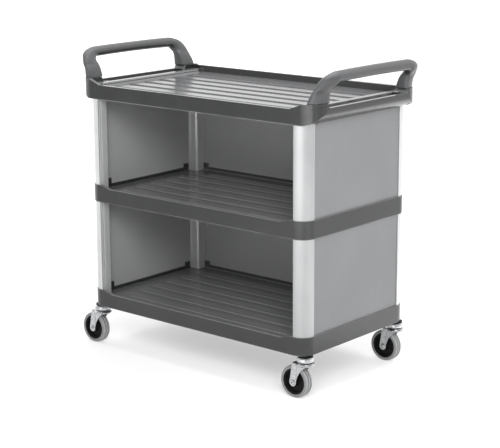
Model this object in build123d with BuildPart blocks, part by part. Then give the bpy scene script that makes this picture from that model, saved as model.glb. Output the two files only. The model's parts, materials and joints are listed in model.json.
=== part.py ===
from build123d import *
import math
import os

os.makedirs("parts", exist_ok=True)

# ---------------------------------------------------------------- dimensions
# All in millimetres. X runs along the cart (a handle at each end), Y across it
# (the open side faces -Y), Z up from the floor.

# shelves
SHELF_L = 890.0          # length of the middle and bottom shelves
SHELF_W = 510.0          # width of all three levels
CORNER_R = 44.0          # plan radius of the shelf corners
BAND_H = 56.0            # height of the shelf band
BOTTOM_TOP = 192.0       # top of the bottom shelf's band
MIDDLE_TOP = 540.0       # top of the middle shelf's band
BASIN_D = 25.0           # depth of the basin below the band top
BEAD_H = 12.0            # height of the bead along the panels' lower edges
FLOOR_T = 4.0            # floor thickness
SKIN_T = 2.5             # wall outside the uprights and panels
SKIRT_T = 4.0            # wall below the floor
LIP_DROP = 9.0           # the front lip is this much lower than the band
LIP_T = 12.0             # thickness of the front lip
LIP_FLAT = 356.0         # half length of the low part of the front lip
LIP_RISE = 388.0         # half length where the lip reaches band height
BLOCK = 60.0             # side of the solid corner blocks under the floor

# floor ribs
RIB_PITCH = 68.0
RIB_W = 40.0
RIB_H = 3.0
RIB_COUNT = 6
SHELF_RIB_L = 742.0
TRAY_RIB_L = 776.0

# top tray
TRAY_L = 960.0
TRAY_R = 55.0
TRAY_BOTTOM = 816.0
TRAY_FRONT = 861.5       # top of the front rim
TRAY_BACK = 875.0        # top of the back rim
TRAY_END = 865.0         # top of the bumper wall at each end
TRAY_LEDGE = 863.4       # top of the ledge between basin and end channel
TRAY_SEAT = 878.0        # top of the corner blocks, where the handles stand
TRAY_FLOOR = 850.0
TRAY_INNER = 400.0       # half length of the basin
TRAY_DIVIDER = 431.0     # inner face of the end channel
TRAY_CHANNEL = 468.0     # outer face of the end channel
TRAY_HOLLOW = 425.0      # half length of the deep hollow under the floor
HOLLOW_STEP = 829.0      # roof of the hollow under the end channels
CHANNEL_HALF = 186.0     # half length of the end channel
CHANNEL_FLOOR = 836.5
RIM_T = 12.0             # front rim thickness
BACK_T = 14.0            # back rim thickness
RAMP_TOP = 431.0         # half length where the front rim's ramps meet the corner blocks
RAMP_FOOT = 386.0        # half length where the ramps start

# uprights and panels
INSET = 2.7              # uprights stand this far inside the band
UP_IN_X = 398.0          # inner faces of the uprights
UP_IN_Y = 208.0
UP_CHAMFER = 4.5         # flat across the inner corner
UP_R = CORNER_R - INSET
UP_CX = SHELF_L / 2 - CORNER_R
UP_CY = SHELF_W / 2 - CORNER_R
SOCKET_D = 12.0          # how far the uprights enter the level above
SLOT_D = 5.0             # panel slot depth
PANEL_T = 3.5
PANEL_X = 436.0          # inner face of the end panels
PANEL_Y = 246.0          # inner face of the back panels
FIT = 0.2

# handles
BAR_X = 490.0            # centre line of the grip
BAR_Z = 952.5
BAR_R = 18.0
LEG_IN_Y = 184.0
LEG_OUT_Y = 247.0

SCREW_X = 458.0          # screws that hold the handles down
SCREW_Y = 224.0
SCREW_R = 3.0
SCREW_HEAD_R = 6.0
SCREW_SEAT = 846.0       # underside of the screw heads' seats
SCREW_TOP = 908.0

# casters
CASTER_X = 425.0
CASTER_Y = 226.0
WHEEL_R = 50.0
TYRE_W = 30.0
HUB_R = 39.5
TRAIL = 33.0
FORK_GAP = 33.0
FORK_T = 2.6
AXLE_R = 4.0
BUSH_R = 6.5
PIN_R = 6.0
RUN = 0.05               # running clearance on shafts
CLEAR = 0.35             # clearance between other moving faces
BALL_R = 3.0
BALL_RING = 17.0
BALL_COUNT = 14

BAND_BOTTOM = {"middle_shelf": MIDDLE_TOP - BAND_H, "bottom_shelf": BOTTOM_TOP - BAND_H}
CORNERS = {
    "front_left": (-1, -1),
    "front_right": (1, -1),
    "back_left": (-1, 1),
    "back_right": (1, 1),
}


def upright_outline(sx, sy, grow=0.0):
    """Points of an upright's section: six round the flat sides, then the arc's middle."""
    r = UP_R + grow
    x0, y0 = UP_IN_X - grow, UP_IN_Y - grow
    c = UP_CHAMFER + (2 - math.sqrt(2)) * grow
    m = r / math.sqrt(2)
    pts = [
        (UP_CX, UP_CY + r),
        (x0, UP_CY + r),
        (x0, y0 + c),
        (x0 + c, y0),
        (UP_CX + r, y0),
        (UP_CX + r, UP_CY),
        (UP_CX + m, UP_CY + m),
    ]
    return [(sx * x, sy * y) for x, y in pts]


# ------------------------------------------------------- middle, bottom shelf
for shelf_name, zt in (("middle_shelf", MIDDLE_TOP), ("bottom_shelf", BOTTOM_TOP)):
    zb = zt - BAND_H
    zf = zt - BASIN_D
    with BuildPart() as shelf:
        # outer band
        with BuildSketch(Plane.XY.offset(zb)):
            RectangleRounded(SHELF_L, SHELF_W, CORNER_R)
        extrude(amount=BAND_H)
        fillet(shelf.faces().sort_by(Axis.Z)[0].edges(), 2.0)
        fillet(shelf.faces().sort_by(Axis.Z)[-1].edges(), 1.0)
        # basin, open above
        with BuildSketch(Plane.XY.offset(zf)):
            RectangleRounded(SHELF_L - 2 * SKIN_T, SHELF_W - 2 * SKIN_T, CORNER_R - SKIN_T)
        extrude(amount=BASIN_D + 1, mode=Mode.SUBTRACT)
        # front wall: low between the ramps, level with the band at the corners
        with BuildSketch(Plane.XZ.offset(SHELF_W / 2 - SKIN_T)) as front_wall:
            with BuildLine():
                Polyline(
                    (-UP_IN_X + FIT, zf),
                    (-UP_IN_X + FIT, zt),
                    (-LIP_RISE, zt),
                    (-LIP_FLAT, zt - LIP_DROP),
                    (LIP_FLAT, zt - LIP_DROP),
                    (LIP_RISE, zt),
                    (UP_IN_X - FIT, zt),
                    (UP_IN_X - FIT, zf),
                    close=True,
                )
            make_face()
        extrude(amount=-(LIP_T - SKIN_T))
        with BuildSketch(Plane.XZ.offset(SHELF_W / 2 - LIP_T - 1)) as front_cut:
            with BuildLine():
                Polyline(
                    (-LIP_RISE, zt),
                    (-LIP_FLAT, zt - LIP_DROP),
                    (LIP_FLAT, zt - LIP_DROP),
                    (LIP_RISE, zt),
                    (LIP_RISE, zt + 5),
                    (-LIP_RISE, zt + 5),
                    close=True,
                )
            make_face()
        extrude(amount=LIP_T + 3, mode=Mode.SUBTRACT)
        # soften the low lip's long edges
        lip_edges = (
            shelf.edges()
            .filter_by(Axis.X)
            .filter_by_position(Axis.Z, zt - LIP_DROP - 0.1, zt - LIP_DROP + 0.1)
        )
        fillet(lip_edges, 2.5)
        # floor ribs
        with BuildSketch(Plane.XY.offset(zf)):
            with GridLocations(0, RIB_PITCH, 1, RIB_COUNT):
                RectangleRounded(SHELF_RIB_L, RIB_W, 8)
        extrude(amount=RIB_H, taper=25)
        # bead that holds the panels' lower edges from inside
        for sx in (-1, 1):
            with BuildSketch(Plane.XY.offset(zf)):
                with Locations((sx * (PANEL_X - FIT - 2.5), 6.0)):
                    Rectangle(5.0, 2 * UP_IN_Y - 48)
            extrude(amount=BEAD_H)
        with BuildSketch(Plane.XY.offset(zf)):
            with Locations((0, PANEL_Y - FIT - 2.5)):
                Rectangle(2 * UP_IN_X - 36, 5.0)
        extrude(amount=BEAD_H)
        # ears beside the uprights, at the panels' lower corners
        with BuildSketch(Plane.XY.offset(zf)):
            for sx in (-1, 1):
                with Locations((sx * (PANEL_X - FIT - 3.0), UP_IN_Y - 18.0)):
                    RectangleRounded(6.0, 21.0, 1.5)
                with Locations((sx * (UP_IN_X - FIT - 10.8), PANEL_Y - FIT - 3.0)):
                    RectangleRounded(21.0, 6.0, 1.5)
        extrude(amount=BASIN_D)
        # taller ears on the end panels towards the open side
        with BuildSketch(Plane.XY.offset(zf)):
            for sx in (-1, 1):
                with Locations((sx * (PANEL_X - FIT - 3.0), -178.0)):
                    RectangleRounded(6.0, 22.0, 1.5)
        extrude(amount=BASIN_D + 6)
        # hollow underside, closed by a grid of stiffening ribs, solid at the corners
        with BuildSketch(Plane.XY.offset(zb)):
            RectangleRounded(SHELF_L - 2 * SKIRT_T, SHELF_W - 2 * SKIRT_T, CORNER_R - SKIRT_T)
            with GridLocations(SHELF_L - BLOCK, SHELF_W - BLOCK, 2, 2):
                Rectangle(BLOCK, BLOCK, mode=Mode.SUBTRACT)
        extrude(amount=BAND_H - BASIN_D - FLOOR_T, mode=Mode.SUBTRACT)
        with BuildSketch(Plane.XY.offset(zb + 8)):
            with GridLocations(0, 100, 1, 4):
                Rectangle(SHELF_L - 2 * SKIRT_T + 1, 3)
            with GridLocations(100, 0, 9, 1):
                Rectangle(3, SHELF_W - 2 * SKIRT_T + 1)
        extrude(amount=BAND_H - BASIN_D - FLOOR_T - 8)
        if shelf_name == "middle_shelf":
            # sockets for the lower uprights
            for sx, sy in CORNERS.values():
                p = upright_outline(sx, sy, FIT)
                with BuildSketch(Plane.XY.offset(zb)):
                    with BuildLine():
                        Polyline(*p[:6])
                        ThreePointArc(p[5], p[6], p[0])
                    make_face()
                extrude(amount=SOCKET_D, mode=Mode.SUBTRACT)
        else:
            # bores for the caster stem sockets
            with BuildSketch(Plane.XY.offset(zb)):
                with GridLocations(2 * CASTER_X, 2 * CASTER_Y, 2, 2):
                    Circle(9.0)
            extrude(amount=27, mode=Mode.SUBTRACT)
    shelf.part.label = shelf_name
    export_step(shelf.part, f"parts/{shelf_name}.step")

# ------------------------------------------------------------------- top tray
with BuildPart() as tray:
    # blank: plan outline, rounded up at both ends towards the bumper walls
    with BuildSketch(Plane.XY.offset(TRAY_BOTTOM)):
        RectangleRounded(TRAY_L, SHELF_W, TRAY_R)
    extrude(amount=TRAY_SEAT - TRAY_BOTTOM)
    with BuildSketch(Plane.XZ) as tray_side:
        half = TRAY_L / 2
        x_e, a_e, b_e = 420.0, half - 420.0, 40.0
        mid = (x_e + a_e * math.sin(math.radians(48)), TRAY_BOTTOM + b_e - b_e * math.cos(math.radians(48)))
        q1 = (x_e + a_e * math.sin(math.radians(24)), TRAY_BOTTOM + b_e - b_e * math.cos(math.radians(24)))
        q2 = (x_e + a_e * math.sin(math.radians(70)), TRAY_BOTTOM + b_e - b_e * math.cos(math.radians(70)))
        with BuildLine():
            Line((-x_e, TRAY_BOTTOM), (x_e, TRAY_BOTTOM))
            Spline((x_e, TRAY_BOTTOM), q1, mid, q2, (half + 0.01, TRAY_BOTTOM + b_e), tangents=((1, 0), (0, 1)))
            Line((half + 0.01, TRAY_BOTTOM + b_e), (half + 0.01, TRAY_SEAT))
            Line((half + 0.01, TRAY_SEAT), (-half - 0.01, TRAY_SEAT))
            Line((-half - 0.01, TRAY_SEAT), (-half - 0.01, TRAY_BOTTOM + b_e))
            Spline(
                (-half - 0.01, TRAY_BOTTOM + b_e),
                (-q2[0], q2[1]),
                (-mid[0], mid[1]),
                (-q1[0], q1[1]),
                (-x_e, TRAY_BOTTOM),
                tangents=((0, -1), (1, 0)),
            )
        make_face()
    extrude(amount=SHELF_W, both=True, mode=Mode.INTERSECT)
    # front rim: low in the middle, ramps up to the corner blocks
    with BuildSketch(Plane.XZ.offset(SHELF_W / 2 + 1)) as rim_cut:
        with BuildLine():
            Polyline(
                (-RAMP_TOP, TRAY_SEAT + 0.01),
                (-RAMP_FOOT, TRAY_FRONT),
                (RAMP_FOOT, TRAY_FRONT),
                (RAMP_TOP, TRAY_SEAT + 0.01),
                (RAMP_TOP, TRAY_SEAT + 5),
                (-RAMP_TOP, TRAY_SEAT + 5),
                close=True,
            )
        make_face()
        fillet(rim_cut.vertices().group_by(Axis.Y)[0], 18)
    extrude(amount=-(SHELF_W - BACK_T + 1), mode=Mode.SUBTRACT)
    # back rim, slightly below the corner blocks
    with BuildSketch(Plane.XY.offset(TRAY_BACK)):
        with Locations((0, SHELF_W / 2 - BACK_T / 2)):
            Rectangle(2 * RAMP_TOP, BACK_T + 2)
    extrude(amount=10, mode=Mode.SUBTRACT)
    # low bumper walls between the corner blocks
    with BuildSketch(Plane.YZ.offset(-half - 1)) as end_cut:
        with BuildLine():
            Polyline(
                (-198, TRAY_SEAT + 3),
                (-190, TRAY_END),
                (190, TRAY_END),
                (198, TRAY_SEAT + 3),
                close=True,
            )
        make_face()
        fillet(end_cut.vertices().group_by(Axis.Y)[0], 6)
    extrude(amount=half + 1 - (TRAY_INNER - 12), mode=Mode.SUBTRACT)
    with BuildSketch(Plane.YZ.offset(TRAY_INNER - 12)) as end_cut_b:
        with BuildLine():
            Polyline(
                (-198, TRAY_SEAT + 3),
                (-190, TRAY_END),
                (190, TRAY_END),
                (198, TRAY_SEAT + 3),
                close=True,
            )
        make_face()
        fillet(end_cut_b.vertices().group_by(Axis.Y)[0], 6)
    extrude(amount=half + 1 - (TRAY_INNER - 12), mode=Mode.SUBTRACT)
    # basin
    with BuildSketch(Plane.XY.offset(TRAY_FLOOR)):
        with Locations((0, (RIM_T - BACK_T) / 2)):
            RectangleRounded(2 * TRAY_INNER, SHELF_W - RIM_T - BACK_T, 14)
    extrude(amount=60, mode=Mode.SUBTRACT)
    # channel behind each bumper wall, and the ledge between it and the basin
    with BuildSketch(Plane.XY.offset(CHANNEL_FLOOR)):
        for sx in (-1, 1):
            with Locations((sx * (TRAY_DIVIDER + TRAY_CHANNEL) / 2, 0)):
                RectangleRounded(TRAY_CHANNEL - TRAY_DIVIDER, 2 * CHANNEL_HALF, 12)
    extrude(amount=60, mode=Mode.SUBTRACT)
    with BuildSketch(Plane.XY.offset(TRAY_LEDGE)):
        for sx in (-1, 1):
            with Locations((sx * (TRAY_INNER + TRAY_DIVIDER) / 2, (RIM_T - BACK_T) / 2)):
                Rectangle(TRAY_DIVIDER - TRAY_INNER + 2, SHELF_W - RIM_T - BACK_T)
    extrude(amount=30, mode=Mode.SUBTRACT)
    # the basin's end walls slope: a flat cove at the foot, a chamfer at the ledge
    for sx in (-1, 1):
        with BuildSketch(Plane.XZ):
            with BuildLine():
                Polyline(
                    (sx * (TRAY_INNER + 1), TRAY_FLOOR - 1),
                    (sx * (TRAY_INNER - 8), TRAY_FLOOR - 1),
                    (sx * (TRAY_INNER + 1), TRAY_FLOOR + 8),
                    close=True,
                )
            make_face()
        extrude(amount=SHELF_W / 2 - 30, both=True)
        with BuildSketch(Plane.XZ):
            with BuildLine():
                Polyline(
                    (sx * (TRAY_INNER - 1), TRAY_LEDGE + 1),
                    (sx * (TRAY_INNER + 5), TRAY_LEDGE + 1),
                    (sx * (TRAY_INNER - 1), TRAY_LEDGE - 5),
                    close=True,
                )
            make_face()
        extrude(amount=SHELF_W / 2 - 30, both=True, mode=Mode.SUBTRACT)
        # and the ledge slopes into the channel
        with BuildSketch(Plane.XZ):
            with BuildLine():
                Polyline(
                    (sx * (TRAY_DIVIDER + 1), TRAY_LEDGE + 1),
                    (sx * (TRAY_DIVIDER - 7.5), TRAY_LEDGE + 1),
                    (sx * (TRAY_DIVIDER + 1), TRAY_LEDGE - 7.5),
                    close=True,
                )
            make_face()
        extrude(amount=CHANNEL_HALF - 13, both=True, mode=Mode.SUBTRACT)
    # floor ribs, with a narrow one along each rim
    with BuildSketch(Plane.XY.offset(TRAY_FLOOR)):
        with GridLocations(0, RIB_PITCH, 1, RIB_COUNT):
            RectangleRounded(TRAY_RIB_L, RIB_W, 8)
        for y_in, y_out in ((-220.0, -246.0), (218.0, 244.0)):
            with Locations((0, (y_in + y_out) / 2)):
                Rectangle(TRAY_RIB_L - 12, abs(y_out - y_in))
    extrude(amount=RIB_H, taper=25)
    # hollow underside with stiffening ribs, solid at the corners
    with BuildSketch(Plane.XY.offset(TRAY_BOTTOM)):
        RectangleRounded(SHELF_L - 2 * SKIRT_T, SHELF_W - 2 * SKIRT_T, CORNER_R - SKIRT_T)
        with GridLocations(SHELF_L - BLOCK, SHELF_W - BLOCK, 2, 2):
            Rectangle(BLOCK, BLOCK, mode=Mode.SUBTRACT)
    extrude(amount=HOLLOW_STEP - TRAY_BOTTOM, mode=Mode.SUBTRACT)
    with BuildSketch(Plane.XY.offset(HOLLOW_STEP - 1)):
        Rectangle(2 * TRAY_HOLLOW, SHELF_W - 2 * SKIRT_T)
        with GridLocations(SHELF_L - BLOCK, SHELF_W - BLOCK, 2, 2):
            Rectangle(BLOCK, BLOCK, mode=Mode.SUBTRACT)
    extrude(amount=TRAY_FLOOR - FLOOR_T - HOLLOW_STEP + 1, mode=Mode.SUBTRACT)
    with BuildSketch(Plane.XY.offset(TRAY_BOTTOM + 6)):
        with GridLocations(0, 100, 1, 4):
            Rectangle(2 * TRAY_HOLLOW + 1, 3)
        with GridLocations(100, 0, 9, 1):
            Rectangle(3, SHELF_W - 2 * SKIRT_T + 1)
    extrude(amount=TRAY_FLOOR - FLOOR_T - TRAY_BOTTOM - 6)
    # sockets for the upper uprights
    for sx, sy in CORNERS.values():
        p = upright_outline(sx, sy, FIT)
        with BuildSketch(Plane.XY.offset(TRAY_BOTTOM)):
            with BuildLine():
                Polyline(*p[:6])
                ThreePointArc(p[5], p[6], p[0])
            make_face()
        extrude(amount=SOCKET_D, mode=Mode.SUBTRACT)
    # holes for the handle screws, counterbored from below
    for sx in (-1, 1):
        for sy in (-1, 1):
            with BuildSketch(Plane.XY.offset(TRAY_BOTTOM - 5)):
                with Locations((sx * SCREW_X, sy * SCREW_Y)):
                    Circle(SCREW_R + 0.3)
            extrude(amount=TRAY_SEAT - TRAY_BOTTOM + 10, mode=Mode.SUBTRACT)
            with BuildSketch(Plane.XY.offset(TRAY_BOTTOM - 5)):
                with Locations((sx * SCREW_X, sy * SCREW_Y)):
                    Circle(SCREW_HEAD_R + 0.5)
            extrude(amount=SCREW_SEAT - TRAY_BOTTOM + 5, mode=Mode.SUBTRACT)
tray.part.label = "top_tray"
export_step(tray.part, "parts/top_tray.step")

# ------------------------------------------------------------------- uprights
LEVELS = {
    "lower": (BOTTOM_TOP - BASIN_D, MIDDLE_TOP - BAND_H + SOCKET_D),
    "upper": (MIDDLE_TOP - BASIN_D, TRAY_BOTTOM + SOCKET_D),
}
for level, (z_low, z_high) in LEVELS.items():
    for corner, (sx, sy) in CORNERS.items():
        p = upright_outline(sx, sy)
        with BuildPart() as upright:
            with BuildSketch(Plane.XY.offset(z_low)):
                with BuildLine():
                    Polyline(*p[:6])
                    ThreePointArc(p[5], p[6], p[0])
                make_face()
                # panel slots in the two inner faces
                with Locations((sx * (PANEL_X + PANEL_T / 2), sy * (UP_IN_Y + SLOT_D / 2))):
                    Rectangle(PANEL_T + 2 * FIT, SLOT_D, mode=Mode.SUBTRACT)
                with Locations((sx * (UP_IN_X + SLOT_D / 2), sy * (PANEL_Y + PANEL_T / 2))):
                    Rectangle(SLOT_D, PANEL_T + 2 * FIT, mode=Mode.SUBTRACT)
                # a shallow decorative groove along each inner face
                with Locations((sx * (UP_IN_X + 29.0), sy * UP_IN_Y)):
                    Rectangle(2.0, 1.6, mode=Mode.SUBTRACT)
                with Locations((sx * UP_IN_X, sy * (UP_IN_Y + 29.0))):
                    Rectangle(1.6, 2.0, mode=Mode.SUBTRACT)
                # hollow core
                core = UP_R - 7.3
                xi, yi = UP_IN_X + 4.0, UP_IN_Y + 4.0
                xa = UP_CX + math.sqrt(core**2 - (yi + 4.5 - UP_CY) ** 2)
                yb = UP_CY + math.sqrt(core**2 - (xi + 4.5 - UP_CX) ** 2)
                m = core / math.sqrt(2)
                with BuildLine():
                    Polyline(
                        (sx * (xi + 4.5), sy * yb),
                        (sx * (xi + 4.5), sy * (yi + 4.5)),
                        (sx * xa, sy * (yi + 4.5)),
                    )
                    ThreePointArc(
                        (sx * xa, sy * (yi + 4.5)),
                        (sx * (UP_CX + m), sy * (UP_CY + m)),
                        (sx * (xi + 4.5), sy * yb),
                    )
                make_face(mode=Mode.SUBTRACT)
            extrude(amount=z_high - z_low)
        upright.part.label = f"{level}_{corner}_upright"
        export_step(upright.part, f"parts/{level}_{corner}_upright.step")

# --------------------------------------------------------------------- panels
PANEL_LEVELS = {
    "lower": (BOTTOM_TOP - BASIN_D, MIDDLE_TOP - BAND_H),
    "upper": (MIDDLE_TOP - BASIN_D, TRAY_BOTTOM),
}
for level, (z_low, z_high) in PANEL_LEVELS.items():
    for side, sx in (("left", -1), ("right", 1)):
        with BuildPart() as panel:
            with BuildSketch(Plane.YZ.offset(sx * (PANEL_X + PANEL_T / 2))):
                with Locations((0, (z_low + z_high - 0.3) / 2)):
                    Rectangle(2 * (UP_IN_Y + SLOT_D - FIT), z_high - 0.3 - z_low)
                with Locations((0, z_high + 2.5)):
                    Rectangle(2 * (SHELF_W / 2 - BLOCK - 1), 6.0)
            extrude(amount=PANEL_T / 2, both=True)
        panel.part.label = f"{level}_{side}_panel"
        export_step(panel.part, f"parts/{level}_{side}_panel.step")
    with BuildPart() as panel:
        with BuildSketch(Plane.XZ.offset(-(PANEL_Y + PANEL_T / 2))):
            with Locations((0, (z_low + z_high - 0.3) / 2)):
                Rectangle(2 * (UP_IN_X + SLOT_D - FIT), z_high - 0.3 - z_low)
            with Locations((0, z_high + 2.5)):
                Rectangle(2 * (SHELF_L / 2 - BLOCK - 1), 6.0)
        extrude(amount=PANEL_T / 2, both=True)
    panel.part.label = f"{level}_back_panel"
    export_step(panel.part, f"parts/{level}_back_panel.step")

# -------------------------------------------------------------------- handles
# Each leg is a fin that leans outwards from the corner block up to the grip: its
# side profile, its front profile and a flaring plan outline are intersected, and
# the round grip runs between the two fins.
FIN_END_Y = 166.0        # the fins reach this far in along the grip
for side, sx in (("left", -1), ("right", 1)):
    with BuildPart() as handle:
        # side profile, seen along Y
        with BuildSketch(Plane.XZ):
            with BuildLine():
                Line((sx * 438.5, TRAY_SEAT), (sx * 477.5, TRAY_SEAT))
                ThreePointArc((sx * 477.5, TRAY_SEAT), (sx * 485.5, 915), (sx * 501, 940))
                ThreePointArc((sx * 501, 940), (sx * 499, 964), (sx * 475.5, 960))
                ThreePointArc((sx * 475.5, 960), (sx * 451, 912), (sx * 438.5, TRAY_SEAT))
            make_face()
        extrude(amount=SHELF_W / 2, both=True)
        # front profile, seen along X: the two legs with rounded outer shoulders
        with BuildSketch(Plane.YZ.offset(sx * 400)):
            for sy in (-1, 1):
                with BuildLine():
                    Line((sy * LEG_IN_Y, TRAY_SEAT), (sy * LEG_OUT_Y, TRAY_SEAT))
                    Line((sy * LEG_OUT_Y, TRAY_SEAT), (sy * (LEG_OUT_Y - 6.5), 905))
                    ThreePointArc(
                        (sy * (LEG_OUT_Y - 6.5), 905),
                        (sy * 227, 943),
                        (sy * 193, 963),
                    )
                    Line((sy * 193, 963), (sy * FIN_END_Y, 969.5))
                    Line((sy * FIN_END_Y, 969.5), (sy * FIN_END_Y, 937))
                    ThreePointArc(
                        (sy * FIN_END_Y, 937),
                        (sy * 178.7, 931.7),
                        (sy * LEG_IN_Y, 919),
                    )
                    Line((sy * LEG_IN_Y, 919), (sy * LEG_IN_Y, TRAY_SEAT))
                make_face()
        extrude(amount=sx * 160, mode=Mode.INTERSECT)
        # plan outline of the tray's end, flaring outwards with height
        with BuildSketch(Plane.XY.offset(TRAY_SEAT)):
            RectangleRounded(TRAY_L - 2, SHELF_W - 2, TRAY_R - 1)
        extrude(amount=110, taper=-20, mode=Mode.INTERSECT)
        # grip
        with BuildSketch(Plane.XZ):
            with Locations((sx * BAR_X, BAR_Z)):
                Circle(BAR_R)
        extrude(amount=FIN_END_Y + 8, both=True)
        for sy in (-1, 1):
            with BuildSketch(Plane.XY.offset(TRAY_SEAT)):
                with Locations((sx * SCREW_X, sy * SCREW_Y)):
                    Circle(SCREW_R + 0.05)
            extrude(amount=SCREW_TOP - TRAY_SEAT + 2, mode=Mode.SUBTRACT)
    handle.part.label = f"{side}_handle"
    export_step(handle.part, f"parts/{side}_handle.step")

with BuildPart() as handle_screws:
    for sx in (-1, 1):
        for sy in (-1, 1):
            with BuildSketch(Plane.XY.offset(SCREW_SEAT - 4.5)):
                with Locations((sx * SCREW_X, sy * SCREW_Y)):
                    Circle(SCREW_HEAD_R)
            extrude(amount=4.5)
            with BuildSketch(Plane.XY.offset(SCREW_SEAT - 4.5)):
                with Locations((sx * SCREW_X, sy * SCREW_Y)):
                    RegularPolygon(2.6, 6)
            extrude(amount=2.8, mode=Mode.SUBTRACT)
            with BuildSketch(Plane.XY.offset(SCREW_SEAT)):
                with Locations((sx * SCREW_X, sy * SCREW_Y)):
                    Circle(SCREW_R)
            extrude(amount=SCREW_TOP - SCREW_SEAT)
handle_screws.part.label = "handle_screws"
export_step(handle_screws.part, "parts/handle_screws.step")

# -------------------------------------------------------------------- casters
Z_SHELF = BOTTOM_TOP - BAND_H     # underside of the bottom shelf
Z_RING = Z_SHELF - 4.5            # underside of the dust ring
Z_CUP = 116.5                     # underside of the race cup
Z_BALL = 115.0
Z_CROWN = 113.0                   # top of the fork crown
Z_CROWN_LOW = 104.0
FORK_OUT = FORK_GAP / 2 + FORK_T

with BuildPart() as stem_sockets:
    with BuildSketch(Plane.XY.offset(Z_SHELF)):
        with GridLocations(2 * CASTER_X, 2 * CASTER_Y, 2, 2):
            Circle(8.95)
            Circle(PIN_R + 0.05, mode=Mode.SUBTRACT)
    extrude(amount=26.8)
stem_sockets.part.label = "stem_sockets"
export_step(stem_sockets.part, "parts/stem_sockets.step")

with BuildPart() as dust_rings:
    with BuildSketch(Plane.XY.offset(Z_RING)):
        with GridLocations(2 * CASTER_X, 2 * CASTER_Y, 2, 2):
            Circle(22.5)
            Circle(PIN_R + 0.05, mode=Mode.SUBTRACT)
    extrude(amount=Z_SHELF - Z_RING)
    fillet(dust_rings.faces().group_by(Axis.Z)[0].edges().group_by(SortBy.LENGTH)[-1], 1.5)
dust_rings.part.label = "dust_rings"
export_step(dust_rings.part, "parts/dust_rings.step")

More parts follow.
